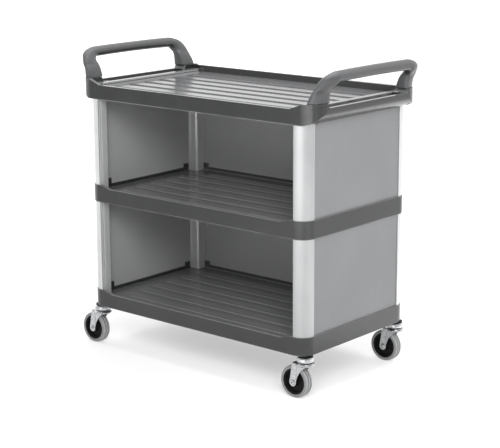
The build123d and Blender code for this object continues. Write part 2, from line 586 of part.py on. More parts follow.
for corner, (sx, sy) in CORNERS.items():
    cx, cy = sx * CASTER_X, sy * CASTER_Y
    wx = cx - TRAIL
    swivel = Axis((cx, cy, 0), (0, 0, 1))
    axle = Axis((wx, cy, WHEEL_R), (0, 1, 0))
    side_plane = Plane(origin=(cx, cy, 0), x_dir=(1, 0, 0), z_dir=(0, -1, 0))
    wheel_plane = Plane(origin=(wx, cy, WHEEL_R), x_dir=(0, 1, 0), z_dir=(1, 0, 0))

    # stem with its king pin head
    with BuildPart() as stem:
        with BuildSketch(side_plane):
            with BuildLine():
                Polyline(
                    (0, Z_CROWN_LOW - CLEAR - 5.5),
                    (9.0, Z_CROWN_LOW - CLEAR - 5.5),
                    (10.0, Z_CROWN_LOW - CLEAR - 4.5),
                    (10.0, Z_CROWN_LOW - CLEAR),
                    (PIN_R, Z_CROWN_LOW - CLEAR),
                    (PIN_R, Z_SHELF + 24.0),
                    (PIN_R - 1.5, Z_SHELF + 26.0),
                    (0, Z_SHELF + 26.0),
                    close=True,
                )
            make_face()
        revolve(axis=swivel)
    stem.part.label = f"{corner}_caster_stem"
    export_step(stem.part, f"parts/{corner}_caster_stem.step")

    # race cup above the balls
    with BuildPart() as cup:
        with BuildSketch(side_plane):
            with BuildLine():
                Polyline(
                    (PIN_R + 0.05, Z_CUP),
                    (24.6, Z_CUP),
                    (26.2, Z_CUP + 1.6),
                    (26.2, Z_CUP + 5.0),
                    (25.2, Z_RING - 4.0),
                    (23.6, Z_RING - 1.2),
                    (21.5, Z_RING),
                    (PIN_R + 0.05, Z_RING),
                    close=True,
                )
            make_face()
            with Locations((BALL_RING, Z_BALL)):
                Circle(BALL_R + 0.05, mode=Mode.SUBTRACT)
        revolve(axis=swivel)
    cup.part.label = f"{corner}_race_cup"
    export_step(cup.part, f"parts/{corner}_race_cup.step")

    # swivel balls
    with BuildPart() as balls:
        with Locations((cx, cy, Z_BALL)):
            with PolarLocations(BALL_RING, BALL_COUNT):
                Sphere(BALL_R)
    balls.part.label = f"{corner}_swivel_balls"
    export_step(balls.part, f"parts/{corner}_swivel_balls.step")

    # fork: sheet bent over the wheel into two legs, and a dished crown for the race
    with BuildPart() as fork:
        with BuildSketch(side_plane):
            with BuildLine():
                Line((-34.5, 111.0), (-44.6, 52.0))
                ThreePointArc((-44.6, 52.0), (-33.0, 37.3), (-21.0, 50.6))
                ThreePointArc((-21.0, 50.6), (-9.0, 80.5), (13.0, 102.5))
                Line((13.0, 102.5), (22.0, 107.0))
                Line((22.0, 107.0), (22.0, 111.0))
                Line((22.0, 111.0), (-34.5, 111.0))
            make_face()
            with Locations((-TRAIL, WHEEL_R)):
                Circle(AXLE_R + 0.1, mode=Mode.SUBTRACT)
        extrude(amount=FORK_OUT, both=True)
        with BuildSketch(Plane(origin=(cx - 60, cy, 0), x_dir=(0, 1, 0), z_dir=(1, 0, 0))) as bend:
            with BuildLine():
                Polyline((-FORK_OUT, 107.0), (-FORK_OUT, 30.0), (-FORK_GAP / 2, 30.0), (-FORK_GAP / 2, 106.0))
                ThreePointArc((-FORK_GAP / 2, 106.0), (-FORK_GAP / 2 + 0.44, 107.06), (-FORK_GAP / 2 + 1.5, 107.5))
                Line((-FORK_GAP / 2 + 1.5, 107.5), (FORK_GAP / 2 - 1.5, 107.5))
                ThreePointArc((FORK_GAP / 2 - 1.5, 107.5), (FORK_GAP / 2 - 0.44, 107.06), (FORK_GAP / 2, 106.0))
                Polyline((FORK_GAP / 2, 106.0), (FORK_GAP / 2, 30.0), (FORK_OUT, 30.0), (FORK_OUT, 107.0))
                ThreePointArc((FORK_OUT, 107.0), (FORK_OUT - 1.17, 109.83), (FORK_OUT - 4.0, 111.0))
                Line((FORK_OUT - 4.0, 111.0), (-FORK_OUT + 4.0, 111.0))
                ThreePointArc((-FORK_OUT + 4.0, 111.0), (-FORK_OUT + 1.17, 109.83), (-FORK_OUT, 107.0))
            make_face()
        extrude(amount=120, mode=Mode.INTERSECT)
        # pressed stiffening ribs on the outer faces of the legs
        with BuildSketch(side_plane.offset(FORK_OUT)):
            with BuildLine():
                Polyline((-38.0, 67.0), (-29.0, 67.0), (-23.0, 104.0), (-31.0, 104.0), close=True)
            make_face()
        extrude(amount=0.9, taper=35)
        with BuildSketch(side_plane.offset(-FORK_OUT)):
            with BuildLine():
                Polyline((-38.0, 67.0), (-29.0, 67.0), (-23.0, 104.0), (-31.0, 104.0), close=True)
            make_face()
        extrude(amount=-0.9, taper=35)
        # crease between the straight leg and the web that flares to the crown
        with BuildSketch(side_plane.offset(FORK_OUT)):
            with BuildLine():
                Polyline((-21.6, 60.0), (-19.0, 60.0), (-16.4, 101.0), (-19.0, 101.0), close=True)
            make_face()
        extrude(amount=-1.1, mode=Mode.SUBTRACT)
        with BuildSketch(side_plane.offset(-FORK_OUT)):
            with BuildLine():
                Polyline((-21.6, 60.0), (-19.0, 60.0), (-16.4, 101.0), (-19.0, 101.0), close=True)
            make_face()
        extrude(amount=1.1, mode=Mode.SUBTRACT)
        with BuildSketch(side_plane):
            with BuildLine():
                Polyline(
                    (PIN_R + RUN, Z_CROWN_LOW),
                    (25.5, Z_CROWN_LOW),
                    (28.0, Z_CROWN_LOW + 2.5),
                    (28.4, Z_CROWN_LOW + 4.0),
                    (28.0, Z_CROWN_LOW + 5.5),
                    (24.5, Z_CROWN),
                    (PIN_R + RUN, Z_CROWN),
                    close=True,
                )
            make_face()
            with Locations((BALL_RING, Z_BALL)):
                Circle(BALL_R + CLEAR, mode=Mode.SUBTRACT)
        revolve(axis=swivel)
        with BuildSketch(Plane.XY.offset(Z_CROWN_LOW - 2)):
            with Locations((cx, cy)):
                Circle(PIN_R + RUN)
        extrude(amount=20, mode=Mode.SUBTRACT)
    fork.part.label = f"{corner}_fork"
    export_step(fork.part, f"parts/{corner}_fork.step")

    # axle bolt with a low socket head on the -Y side
    head_y = cy - FORK_OUT
    with BuildPart() as bolt:
        with BuildSketch(Plane.XZ.offset(-(head_y - 1.6))):
            with Locations((wx, WHEEL_R)):
                Circle(7.6)
        extrude(amount=-1.6)
        with BuildSketch(Plane.XZ.offset(-(head_y - 1.6))):
            with Locations((wx, WHEEL_R)):
                Circle(7.6)
        extrude(amount=2.2, taper=40)
        with BuildSketch(Plane.XZ.offset(-(head_y - 1.4))):
            with Locations((wx, WHEEL_R)):
                Circle(AXLE_R)
        extrude(amount=-(2 * FORK_OUT + 1.4 + 9.0))
        with BuildSketch(Plane.XZ.offset(-(head_y - 1.2))):
            with Locations((wx, WHEEL_R)):
                RegularPolygon(3.2, 6)
        extrude(amount=4.0, mode=Mode.SUBTRACT)
        chamfer(bolt.faces().sort_by(Axis.Y)[-1].edges(), 0.8)
    bolt.part.label = f"{corner}_axle_bolt"
    export_step(bolt.part, f"parts/{corner}_axle_bolt.step")

    # lock nut on the +Y side
    with BuildPart() as nut:
        with BuildSketch(Plane.XZ.offset(-(cy + FORK_OUT))):
            with Locations((wx, WHEEL_R)):
                RegularPolygon(7.5, 6)
                Circle(AXLE_R + 0.05, mode=Mode.SUBTRACT)
        extrude(amount=-6.8)
    nut.part.label = f"{corner}_axle_nut"
    export_step(nut.part, f"parts/{corner}_axle_nut.step")

    # spacer bush clamped between the fork legs
    with BuildPart() as bush:
        with BuildSketch(Plane.XZ.offset(-(cy - FORK_GAP / 2))):
            with Locations((wx, WHEEL_R)):
                Circle(BUSH_R)
                Circle(AXLE_R + 0.05, mode=Mode.SUBTRACT)
        extrude(amount=-FORK_GAP)
    bush.part.label = f"{corner}_axle_bush"
    export_step(bush.part, f"parts/{corner}_axle_bush.step")

    # wheel hub: boss, dished web and rim
    with BuildPart() as hub:
        with BuildSketch(wheel_plane):
            with BuildLine():
                Polyline(
                    (-16.0, BUSH_R + RUN),
                    (-16.0, 12.0),
                    (-15.0, 13.0),
                    (-6.0, 15.5),
                    (-5.0, 30.0),
                    (-12.0, 33.5),
                    (-13.5, 35.0),
                    (-13.5, HUB_R),
                    (13.5, HUB_R),
                    (13.5, 35.0),
                    (12.0, 33.5),
                    (5.0, 30.0),
                    (6.0, 15.5),
                    (15.0, 13.0),
                    (16.0, 12.0),
                    (16.0, BUSH_R + RUN),
                    close=True,
                )
            make_face()
        revolve(axis=axle)
    hub.part.label = f"{corner}_wheel_hub"
    export_step(hub.part, f"parts/{corner}_wheel_hub.step")

    # tyre with two tread grooves
    with BuildPart() as tyre:
        with BuildSketch(wheel_plane) as tyre_section:
            with BuildLine():
                w = TYRE_W / 2
                Polyline(
                    (-13.5, HUB_R),
                    (-w + 0.6, HUB_R + 0.4),
                    (-w, HUB_R + 2.0),
                    (-w, WHEEL_R - 6.0),
                )
                ThreePointArc((-w, WHEEL_R - 6.0), (-w + 1.7, WHEEL_R - 2.2), (-w + 5.0, WHEEL_R - 0.5))
                Polyline(
                    (-w + 5.0, WHEEL_R - 0.5),
                    (-6.6, WHEEL_R - 0.1),
                    (-6.0, WHEEL_R - 1.8),
                    (-3.6, WHEEL_R - 1.8),
                    (-3.0, WHEEL_R),
                    (3.0, WHEEL_R),
                    (3.6, WHEEL_R - 1.8),
                    (6.0, WHEEL_R - 1.8),
                    (6.6, WHEEL_R - 0.1),
                    (w - 5.0, WHEEL_R - 0.5),
                )
                ThreePointArc((w - 5.0, WHEEL_R - 0.5), (w - 1.7, WHEEL_R - 2.2), (w, WHEEL_R - 6.0))
                Polyline(
                    (w, WHEEL_R - 6.0),
                    (w, HUB_R + 2.0),
                    (w - 0.6, HUB_R + 0.4),
                    (13.5, HUB_R),
                    (-13.5, HUB_R),
                )
            make_face()
        revolve(axis=axle)
    tyre.part.label = f"{corner}_tyre"
    export_step(tyre.part, f"parts/{corner}_tyre.step")
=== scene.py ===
import json
import math

import bmesh
import bpy
import numpy as np
from mathutils import Matrix, Vector


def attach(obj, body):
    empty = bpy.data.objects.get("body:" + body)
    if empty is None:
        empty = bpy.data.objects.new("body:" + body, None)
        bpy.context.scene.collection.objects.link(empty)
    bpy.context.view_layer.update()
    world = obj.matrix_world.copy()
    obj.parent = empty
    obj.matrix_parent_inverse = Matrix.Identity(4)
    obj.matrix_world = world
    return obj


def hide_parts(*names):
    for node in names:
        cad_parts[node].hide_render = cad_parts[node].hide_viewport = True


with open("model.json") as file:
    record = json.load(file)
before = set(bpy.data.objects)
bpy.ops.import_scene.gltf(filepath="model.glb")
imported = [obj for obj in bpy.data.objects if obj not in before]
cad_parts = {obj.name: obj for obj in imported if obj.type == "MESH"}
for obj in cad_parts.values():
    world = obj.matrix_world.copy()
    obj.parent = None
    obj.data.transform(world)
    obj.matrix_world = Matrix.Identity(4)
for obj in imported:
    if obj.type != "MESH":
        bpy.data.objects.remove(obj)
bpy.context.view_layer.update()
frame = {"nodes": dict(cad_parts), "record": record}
nodes = frame["nodes"]
scene = bpy.context.scene


# ------------------------------------------------------------------ materials
class Graph:
    """A small helper around one material's nodes."""

    def __init__(self, name):
        self.mat = bpy.data.materials.new(name)
        self.mat.use_nodes = True
        self.nt = self.mat.node_tree
        self.nt.nodes.clear()
        self.out = self.add("ShaderNodeOutputMaterial")
        self.bsdf = self.add("ShaderNodeBsdfPrincipled")
        self.nt.links.new(self.bsdf.outputs["BSDF"], self.out.inputs["Surface"])
        self.coord = self.add("ShaderNodeTexCoord")

    def add(self, kind, **props):
        n = self.nt.nodes.new(kind)
        for k, v in props.items():
            setattr(n, k, v)
        return n

    def link(self, a, b):
        self.nt.links.new(a, b)

    def put(self, node, name, value):
        """Sets a socket to a value, or links it to another node's output."""
        s = node.inputs[name]
        if isinstance(value, bpy.types.NodeSocket):
            self.link(value, s)
        else:
            s.default_value = value

    def place(self, scale=(1, 1, 1), rotation=(0, 0, 0)):
        m = self.add("ShaderNodeMapping")
        self.link(self.coord.outputs["Object"], m.inputs["Vector"])
        m.inputs["Scale"].default_value = scale
        m.inputs["Rotation"].default_value = rotation
        return m.outputs["Vector"]

    def noise(self, vector, scale, detail=3.0, rough=0.5):
        n = self.add("ShaderNodeTexNoise")
        self.link(vector, n.inputs["Vector"])
        n.inputs["Scale"].default_value = scale
        n.inputs["Detail"].default_value = detail
        n.inputs["Roughness"].default_value = rough
        return n.outputs["Fac"]

    def voronoi(self, vector, scale, output="Distance"):
        n = self.add("ShaderNodeTexVoronoi")
        self.link(vector, n.inputs["Vector"])
        n.inputs["Scale"].default_value = scale
        return n.outputs[output]

    def remap(self, value, lo, hi, to_lo, to_hi, smooth=False):
        n = self.add("ShaderNodeMapRange")
        n.interpolation_type = "SMOOTHSTEP" if smooth else "LINEAR"
        self.put(n, "Value", value)
        n.inputs["From Min"].default_value = lo
        n.inputs["From Max"].default_value = hi
        n.inputs["To Min"].default_value = to_lo
        n.inputs["To Max"].default_value = to_hi
        return n.outputs["Result"]

    def math(self, op, a, b=0.0):
        n = self.add("ShaderNodeMath", operation=op)
        for i, v in enumerate((a, b)):
            if isinstance(v, bpy.types.NodeSocket):
                self.link(v, n.inputs[i])
            else:
                n.inputs[i].default_value = v
        return n.outputs[0]

    def mix(self, fac, a, b):
        n = self.add("ShaderNodeMix", data_type="RGBA")
        if isinstance(fac, bpy.types.NodeSocket):
            self.link(fac, n.inputs[0])
        else:
            n.inputs[0].default_value = fac
        for i, v in ((6, a), (7, b)):
            if isinstance(v, bpy.types.NodeSocket):
                self.link(v, n.inputs[i])
            else:
                n.inputs[i].default_value = (*v, 1.0)
        return n.outputs[2]

    def blend(self, fac, a, b):
        n = self.add("ShaderNodeMix", data_type="FLOAT")
        self.link(fac, n.inputs[0])
        self.link(a, n.inputs[2])
        self.link(b, n.inputs[3])
        return n.outputs[0]

    def bump(self, height, strength, distance, normal=None):
        n = self.add("ShaderNodeBump")
        n.inputs["Strength"].default_value = strength
        n.inputs["Distance"].default_value = distance
        self.link(height, n.inputs["Height"])
        if normal is not None:
            self.link(normal, n.inputs["Normal"])
        return n.outputs["Normal"]

    def up(self):
        """How far the surface faces up: 1 on level floors, 0 on walls."""
        g = self.add("ShaderNodeNewGeometry")
        s = self.add("ShaderNodeSeparateXYZ")
        self.link(g.outputs["Normal"], s.inputs["Vector"])
        return s.outputs["Z"]

    def along(self, axis):
        s = self.add("ShaderNodeSeparateXYZ")
        self.link(self.coord.outputs["Object"], s.inputs["Vector"])
        return s.outputs[axis]

    def edge(self, radius):
        """1 along sharp edges, fading over the radius."""
        b = self.add("ShaderNodeBevel", samples=4)
        b.inputs["Radius"].default_value = radius
        g = self.add("ShaderNodeNewGeometry")
        d = self.add("ShaderNodeVectorMath", operation="DOT_PRODUCT")
        self.link(b.outputs["Normal"], d.inputs[0])
        self.link(g.outputs["Normal"], d.inputs[1])
        return self.remap(d.outputs["Value"], 0.995, 0.86, 0.0, 1.0)


def moulded(name, dark, light, top_dark, top_light, rough, top_rough, floor_z=None, groove=None, hem_z=None, underside_shade=None):
    """Dark grey moulded plastic: fine grain, faint mottling, scuffed tops painted paler as painted light from above,
    painted shade on undersides, grooves and channel slopes, a painted highlight on the band's lower edge, and worn
    edges.
    """
    g = Graph(name)
    v = g.place()
    mottle = g.remap(g.noise(v, 7.0, 4.0, 0.55), 0.3, 0.7, 0.0, 1.0)
    walls = g.mix(mottle, dark, light)
    # level surfaces are painted paler, partly as painted light from above and partly as scuffs from what slides over
    # them
    scuff = g.noise(g.place((3.0, 150.0, 150.0)), 1.0, 4.0, 0.55)
    tops = g.mix(g.remap(scuff, 0.3, 0.72, 0.0, 1.0), top_dark, top_light)
    top_r = g.remap(scuff, 0.35, 0.75, top_rough - 0.03, top_rough + 0.06)
    if floor_z is not None:
        # the grooves between the floor ribs are painted darker, as painted shade in the recesses, and keep a duller
        # moulded finish
        low = g.remap(g.along("Z"), floor_z + 0.0004, floor_z + 0.0024, 1.0, 0.0, smooth=True)
        tops = g.mix(low, tops, groove)
        top_r = g.math("ADD", top_r, g.math("MULTIPLY", low, 0.03))
        # the band's lower edge is painted bright, a painted highlight along it, broken up by noise
        hem = g.remap(g.along("Z"), hem_z + 0.0012, hem_z + 0.0028, 1.0, 0.0, smooth=True)
        hem_highlight = g.math("MULTIPLY", hem, g.remap(g.noise(v, 9.0, 3.0), 0.35, 0.6, 0.35, 0.9))
        walls = g.mix(hem_highlight, walls, (0.14, 0.141, 0.144))
        # the walls round the basin are painted paler, as painted fill light inside the tray
        along_x = g.math("ABSOLUTE", g.along("X"))
        high = g.math("GREATER_THAN", g.along("Z"), floor_z + 0.002)
        basin = g.math("MULTIPLY", high, g.math("LESS_THAN", along_x, 0.41))
        basin = g.math("MULTIPLY", basin, g.math("LESS_THAN", g.math("ABSOLUTE", g.along("Y")), 0.244))
        walls = g.mix(basin, walls, (0.04, 0.0405, 0.0415))
        # in the end channels the walls are painted paler, as painted fill light in the deep slot, and the slopes nearly
        # black, as painted shade; noise breaks both up and the slopes are made rougher
        channel = g.math("MULTIPLY", g.remap(along_x, 0.4232, 0.424, 0.0, 1.0), g.remap(along_x, 0.4675, 0.4685, 1.0, 0.0))
        channel = g.math("MULTIPLY", channel, g.math("LESS_THAN", g.math("ABSOLUTE", g.along("Y")), 0.176))
        channel = g.math("MULTIPLY", channel, g.remap(g.along("Z"), 0.8624, 0.8632, 1.0, 0.0))
        channel = g.math("MULTIPLY", channel, g.math("GREATER_THAN", g.along("Z"), 0.834))
        channel = g.math("MULTIPLY", channel, g.remap(g.noise(v, 30.0, 4.0), 0.3, 0.65, 0.7, 1.0))
        walls = g.mix(channel, walls, (0.09, 0.0905, 0.0915))
        tops = g.mix(channel, tops, (0.007, 0.0072, 0.0075))
        top_r = g.math("ADD", top_r, g.math("MULTIPLY", channel, 0.4))
    facing = g.up()
    if underside_shade is not None:
        # the grip's underside is painted darker, as painted shade
        walls = g.mix(g.remap(facing, -0.05, -0.6, 0.0, 1.0), walls, underside_shade)
    # upward faces take the paler top colour: painted light from above, with scuffs
    up = g.remap(facing, 0.2, 0.6, 0.0, 1.0)
    if floor_z is not None:
        # the flanks of the floor ribs get the paler top colour too, painted light and scuffs like their tops
        flank = g.remap(g.along("Z"), floor_z + 0.0034, floor_z + 0.0044, 0.8, 0.0)
        flank = g.math("MULTIPLY", flank, g.math("GREATER_THAN", g.along("Z"), floor_z - 0.001))
        flank = g.math("MULTIPLY", flank, g.math("LESS_THAN", along_x, 0.41))
        flank = g.math("MULTIPLY", flank, g.math("LESS_THAN", g.math("ABSOLUTE", g.along("Y")), 0.244))
        up = g.math("MAXIMUM", up, flank)
    base = g.mix(up, walls, tops)
    worn = g.math("MULTIPLY", g.edge(0.0016), g.remap(g.noise(v, 38.0, 3.0), 0.4, 0.62, 0.05, 0.5))
    base = g.mix(worn, base, tuple(c * 1.2 for c in top_light))
    g.put(g.bsdf, "Base Color", base)
    wall_r = g.remap(g.noise(v, 60.0, 3.0), 0.3, 0.7, rough - 0.04, rough + 0.05)
    g.put(g.bsdf, "Roughness", g.blend(up, wall_r, top_r))
    g.bsdf.inputs["IOR"].default_value = 1.46
    g.put(g.bsdf, "Normal", g.bump(g.noise(v, 1500.0, 2.0, 0.6), 0.1, 0.0003))
    return g.mat


def aluminium(name, tone=1.0, metal=0.5):
    """Satin anodised extrusion with drawing lines along its length."""
    g = Graph(name)
    lines = g.noise(g.place((1400.0, 1400.0, 3.0)), 1.0, 3.0, 0.6)
    v = g.place()
    cloud = g.noise(v, 9.0, 3.0)
    # a tone below 1 darkens the whole extrusion, as painted shade
    shade = [tuple(tone * c for c in rgb) for rgb in ((0.48, 0.484, 0.488), (0.53, 0.534, 0.538), (0.42, 0.424, 0.428))]
    base = g.mix(g.remap(cloud, 0.3, 0.7, 0.0, 1.0), shade[0], shade[1])
    base = g.mix(g.remap(lines, 0.45, 0.75, 0.0, 0.3), base, shade[2])
    g.put(g.bsdf, "Base Color", base)
    # the anodic layer scatters part of the light, so the faces never go mirror dark
    g.bsdf.inputs["Metallic"].default_value = metal
    g.put(g.bsdf, "Roughness", g.remap(lines, 0.3, 0.7, 0.34, 0.46))
    g.put(g.bsdf, "Normal", g.bump(lines, 0.07, 0.0003))
    return g.mat


def sheet_panel(name):
    """Satin grey laminated sheet with a faint vertical rolling grain; its inner face is painted paler and its outer
    face darker, as painted light and shade.
    """
    g = Graph(name)
    v = g.place()
    grain = g.noise(g.place((700.0, 700.0, 5.0)), 1.0, 3.0, 0.55)
    cloud = g.remap(g.noise(v, 5.0, 3.0), 0.3, 0.7, 0.0, 1.0)
    streak = g.remap(grain, 0.4, 0.75, 0.0, 0.22)
    # the inner face gets a paler colour as painted light, the outer face a darker one as painted shade
    inner = g.mix(cloud, (0.228, 0.23, 0.233), (0.25, 0.252, 0.255))
    inner = g.mix(streak, inner, (0.19, 0.192, 0.195))
    outer = g.mix(cloud, (0.148, 0.15, 0.153), (0.163, 0.165, 0.168))
    outer = g.mix(streak, outer, (0.129, 0.131, 0.134))
    # the outer faces lie beyond the middle of the sheet, at the ends and at the back
    at_end = g.math("GREATER_THAN", g.math("ABSOLUTE", g.along("X")), 0.4378)
    at_back = g.math("GREATER_THAN", g.along("Y"), 0.2478)
    base = g.mix(g.math("MAXIMUM", at_end, at_back), inner, outer)
    worn = g.math("MULTIPLY", g.edge(0.001), 0.6)
    base = g.mix(worn, base, (0.34, 0.34, 0.345))
    g.put(g.bsdf, "Base Color", base)
    g.put(g.bsdf, "Roughness", g.remap(grain, 0.3, 0.7, 0.42, 0.52))
    g.bsdf.inputs["Specular IOR Level"].default_value = 0.25
    g.put(g.bsdf, "Normal", g.bump(grain, 0.04, 0.0002))
    return g.mat


def zinc(name):
    """Bright zinc plate: small crystals, soft waviness and a few dull spots."""
    g = Graph(name)
    v = g.place()
    crystal = g.voronoi(v, 420.0, "Color")
    sep = g.add("ShaderNodeSeparateColor")
    g.link(crystal, sep.inputs["Color"])
    cell = sep.outputs["Red"]
    base = g.mix(cell, (0.45, 0.457, 0.47), (0.58, 0.585, 0.595))
    dull = g.noise(v, 90.0, 4.0, 0.6)
    base = g.mix(g.remap(dull, 0.5, 0.7, 0.0, 0.7), base, (0.3, 0.306, 0.318))
    base = g.mix(g.math("MULTIPLY", g.edge(0.0009), 0.5), base, (0.72, 0.725, 0.735))
    g.put(g.bsdf, "Base Color", base)
    g.bsdf.inputs["Metallic"].default_value = 1.0
    r = g.math("ADD", g.remap(dull, 0.4, 0.75, 0.16, 0.34), g.remap(cell, 0.0, 1.0, 0.0, 0.06))
    g.put(g.bsdf, "Roughness", r)
    g.put(g.bsdf, "Normal", g.bump(g.noise(v, 150.0, 3.0), 0.12, 0.0006))
    return g.mat


def black_plastic(name):
    """Black moulded polyamide with a fine grain and greyed edges."""
    g = Graph(name)
    v = g.place()
    mottle = g.noise(v, 70.0, 4.0, 0.6)
    base = g.mix(g.remap(mottle, 0.35, 0.7, 0.0, 1.0), (0.003, 0.003, 0.0033), (0.007, 0.007, 0.0075))
    base = g.mix(g.math("MULTIPLY", g.edge(0.0008), 0.4), base, (0.03, 0.03, 0.031))
    g.put(g.bsdf, "Base Color", base)
    g.put(g.bsdf, "Roughness", g.remap(mottle, 0.3, 0.7, 0.36, 0.52))
    g.bsdf.inputs["Specular IOR Level"].default_value = 0.08
    g.put(g.bsdf, "Normal", g.bump(g.noise(v, 1800.0, 2.0), 0.15, 0.0003))
    return g.mat


def tyre_rubber(name, axle_x, mid_y):
    """Grey non-marking rubber with pale dust, sidewalls painted darker as painted shade, and grooves painted dark as
    painted shade.
    """
    g = Graph(name)
    v = g.place()
    mottle = g.noise(v, 45.0, 5.0, 0.62)
    base = g.mix(g.remap(mottle, 0.32, 0.7, 0.0, 1.0), (0.2, 0.202, 0.206), (0.26, 0.262, 0.266))
    dust = g.noise(v, 260.0, 4.0, 0.6)
    base = g.mix(g.remap(dust, 0.55, 0.75, 0.0, 0.4), base, (0.34, 0.337, 0.332))
    # distance from the wheel's middle plane and from its axle
    across = g.math("ABSOLUTE", g.math("SUBTRACT", g.along("Y"), mid_y))
    out_x = g.math("POWER", g.math("SUBTRACT", g.along("X"), axle_x), 2.0)
    out_z = g.math("POWER", g.math("SUBTRACT", g.along("Z"), 0.05), 2.0)
    radius = g.math("SQRT", g.math("ADD", out_x, out_z))
    # the sidewalls are painted darker, as painted shade
    sidewall_shade = g.remap(across, 0.0115, 0.0147, 0.0, 0.55, smooth=True)
    base = g.mix(sidewall_shade, base, (0.085, 0.086, 0.088))
    # the tread grooves are painted nearly black, as painted shade in the recesses
    groove_shade_band = g.remap(g.math("ABSOLUTE", g.math("SUBTRACT", across, 0.0048)), 0.0012, 0.0024, 1.0, 0.0, smooth=True)
    groove_shade_depth = g.remap(radius, 0.0484, 0.0498, 0.85, 0.0)
    base = g.mix(g.math("MULTIPLY", groove_shade_band, groove_shade_depth), base, (0.03, 0.03, 0.031))
    g.put(g.bsdf, "Base Color", base)
    g.put(g.bsdf, "Roughness", g.remap(mottle, 0.3, 0.7, 0.52, 0.68))
    g.put(g.bsdf, "Normal", g.bump(g.noise(v, 900.0, 3.0), 0.2, 0.0004))
    return g.mat


WALL = ((0.016, 0.0165, 0.0172), (0.0205, 0.021, 0.0218))
MATS = {
    # the handle's upward faces are painted paler, as painted highlight, and its underside darker, as painted shade
    "moulded_handle": moulded(
        "moulded_handle",
        (0.041, 0.042, 0.0435),
        (0.05, 0.051, 0.0525),
        (0.062, 0.063, 0.065),
        (0.078, 0.079, 0.081),
        0.34,
        0.34,
        underside_shade=(0.012, 0.0122, 0.0126),
    ),
    "upright_aluminium": aluminium("upright_aluminium"),
    "panel_sheet": sheet_panel("panel_sheet"),
    "zinc_steel": zinc("zinc_steel"),
    "black_plastic": black_plastic("black_plastic"),
}
# the three trays share one plastic, with the floor's height told to each; their level tops are painted far paler than
# their walls, partly as painted light
NODE_MATS = {
    node: moulded(
        f"moulded_{node}", *WALL, (0.125, 0.126, 0.129), (0.155, 0.156, 0.159), 0.22, 0.17, z, (0.115, 0.116, 0.119), low
    )
    for node, z, low in (("top_tray", 0.850, 0.816), ("middle_shelf", 0.515, 0.484), ("bottom_shelf", 0.167, 0.136))
}
for corner, sx, sy in (("front_left", -1, -1), ("front_right", 1, -1), ("back_left", -1, 1), ("back_right", 1, 1)):
    NODE_MATS[f"{corner}_tyre"] = tyre_rubber(f"{corner}_tyre", sx * 0.425 - 0.033, sy * 0.226)
# the front right pair is painted darker, as painted shade against the strong light on it, and made more metallic, to
# match its tone in the photo
painted_darker = aluminium("upright_aluminium_polished", 0.68, 0.72)
NODE_MATS["lower_front_right_upright"] = painted_darker
NODE_MATS["upper_front_right_upright"] = painted_darker
slot_of = {s["node"]: s["material_slot"] for s in frame["record"]["subparts"]}
for name, obj in nodes.items():
    obj.data.materials.clear()
    obj.data.materials.append(NODE_MATS[name] if name in NODE_MATS else MATS[slot_of[name]])


# ---------------------------------------------------------------- soft edges
def soften(obj, width, segments=2, angle=28):
    """Rounds the sharp edges of a CAD piece; its own mesh stays as it is."""
    w = obj.modifiers.new("weld", "WELD")
    w.merge_threshold = 2e-6
    d = obj.modifiers.new("flat", "DECIMATE")
    d.decimate_type = "DISSOLVE"
    d.angle_limit = math.radians(0.6)
    b = obj.modifiers.new("round", "BEVEL")
    b.width = width
    b.segments = segments
    b.limit_method = "ANGLE"
    b.angle_limit = math.radians(angle)
    b.use_clamp_overlap = False
    b.miter_outer = "MITER_SHARP"
    b.loop_slide = False
    n = obj.modifiers.new("normals", "WEIGHTED_NORMAL")
    n.keep_sharp = False
    n.weight = 60


SOFT = {"middle_shelf": 0.0007, "bottom_shelf": 0.0007}
for name, width in SOFT.items():
    soften(nodes[name], width)
for name, obj in nodes.items():
    if name.endswith("_upright"):
        soften(obj, 0.0007)


# -------------------------------------------------------------------- handles
def hermite(keys, values, at):
    """Smooth curve through the keys, one column per value, with no overshoot between them."""
    keys, values = np.asarray(keys, float), np.asarray(values, float)
    slope = np.zeros_like(values)
    h = np.diff(keys)[:, None]
    d = np.diff(values, axis=0) / h
    for i in range(1, len(keys) - 1):
        same = d[i - 1] * d[i] > 0
        w1, w2 = 2 * h[i] + h[i - 1], h[i] + 2 * h[i - 1]
        with np.errstate(divide="ignore", invalid="ignore"):
            m = (w1 + w2) / (w1 / d[i - 1] + w2 / d[i])
        slope[i] = np.where(same, m, 0.0)
    slope[0], slope[-1] = d[0], d[-1]
    i = np.clip(np.searchsorted(keys, at, side="right") - 1, 0, len(keys) - 2)
    t = ((at - keys[i]) / (keys[i + 1] - keys[i]))[:, None]
    hi = h[i]
    return (
        (2 * t**3 - 3 * t**2 + 1) * values[i]
        + (t**3 - 2 * t**2 + t) * hi * slope[i]
        + (-2 * t**3 + 3 * t**2) * values[i + 1]
        + (t**3 - t**2) * hi * slope[i + 1]
    )


FOOT_Z, PIVOT_Y, PIVOT_Z = 878.0, 166.0, 919.0
SHOULDER = (140.0, 905.0, 100.0, 66.0)  # centre y and z, half width and half height


def reach(k):
    """Distance from the pivot to the outer shoulder's ellipse, at key k of the turn."""
    y0, z0, ea, eb = SHOULDER
    a = (k - 1) * math.pi / 2
    c, s = math.cos(a), math.sin(a)
    dy, dz = PIVOT_Y - y0, PIVOT_Z - z0
    p = (c / ea) ** 2 + (s / eb) ** 2
    q = dy * c / ea**2 + dz * s / eb**2
    r = (dy / ea) ** 2 + (dz / eb) ** 2 - 1
    return (-q + math.sqrt(q * q - p * r)) / p


